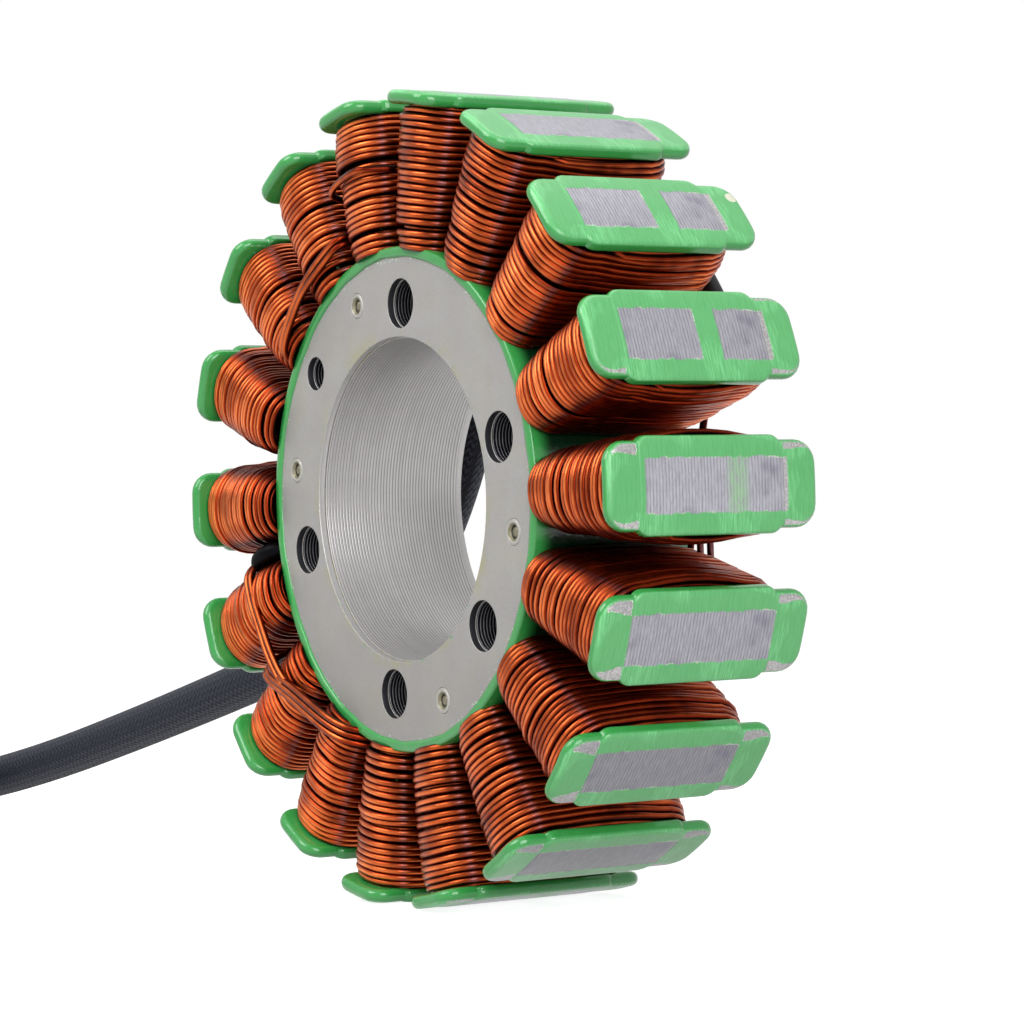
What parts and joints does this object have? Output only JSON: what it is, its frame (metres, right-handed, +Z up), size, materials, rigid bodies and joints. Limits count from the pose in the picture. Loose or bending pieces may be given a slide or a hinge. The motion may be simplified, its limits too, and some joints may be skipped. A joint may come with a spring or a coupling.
{
  "type": "wound stator",
  "caption": "Round wound stator of a flywheel alternator: a laminated ring with outward poles, a coil on each pole, a bare bolt ring with a centre bore, and a sleeved output cable with a plug.",
  "frame": {"origin": "on the axis of the centre bore, half way through the core", "axes": "-Y along the bore's axis, out of the bare front face that shows in the picture; +Z up, as the stator stands on its two lowest poles; +X to the right seen from the front"},
  "size_m": [0.3457, 0.0978, 0.1198],
  "materials": {
    "core_coat": "gloss powder coat, bare ground steel on the ring, in the bore and on the pole faces",
    "rivet_steel": "dull passivated steel",
    "enamelled_wire": "glossy clear enamel over copper",
    "lead_insulation": "satin",
    "joint_sleeving": "satin shrink sleeving",
    "woven_sleeve": "varnished woven sleeve",
    "tie_plastic": "satin",
    "boot_rubber": "matt",
    "plug_plastic": "satin",
    "blade_metal": "tinned brass"
  },
  "bodies": {
    "root": {"laminated_core": "core_coat", "rivet_1": "rivet_steel", "rivet_2": "rivet_steel", "rivet_3": "rivet_steel", "rivet_4": "rivet_steel", "coil_01": "enamelled_wire", "coil_02": "enamelled_wire", "coil_03": "enamelled_wire", "coil_04": "enamelled_wire", "coil_05": "enamelled_wire", "coil_06": "enamelled_wire", "coil_07": "enamelled_wire", "coil_08": "enamelled_wire", "coil_09": "enamelled_wire", "coil_10": "enamelled_wire", "coil_11": "enamelled_wire", "coil_12": "enamelled_wire", "coil_13": "enamelled_wire", "coil_14": "enamelled_wire", "coil_15": "enamelled_wire", "coil_16": "enamelled_wire", "coil_17": "enamelled_wire", "coil_18": "enamelled_wire", "inner_phase_links": "enamelled_wire", "middle_phase_links": "enamelled_wire", "outer_phase_links": "enamelled_wire", "upper_front_link": "enamelled_wire", "middle_front_link": "enamelled_wire", "lower_front_link": "enamelled_wire", "phase_lead_1": "lead_insulation", "phase_lead_2": "lead_insulation", "phase_lead_3": "lead_insulation", "joint_sleeve_1": "joint_sleeving", "joint_sleeve_2": "joint_sleeving", "joint_sleeve_3": "joint_sleeving", "cable": "woven_sleeve", "cable_coil": "woven_sleeve", "cable_tail": "woven_sleeve", "mouth_band": "tie_plastic", "coil_tie": "tie_plastic", "cable_boot": "boot_rubber", "plug_housing": "plug_plastic", "plug_blades": "blade_metal"}
  },
  "joints": []
}
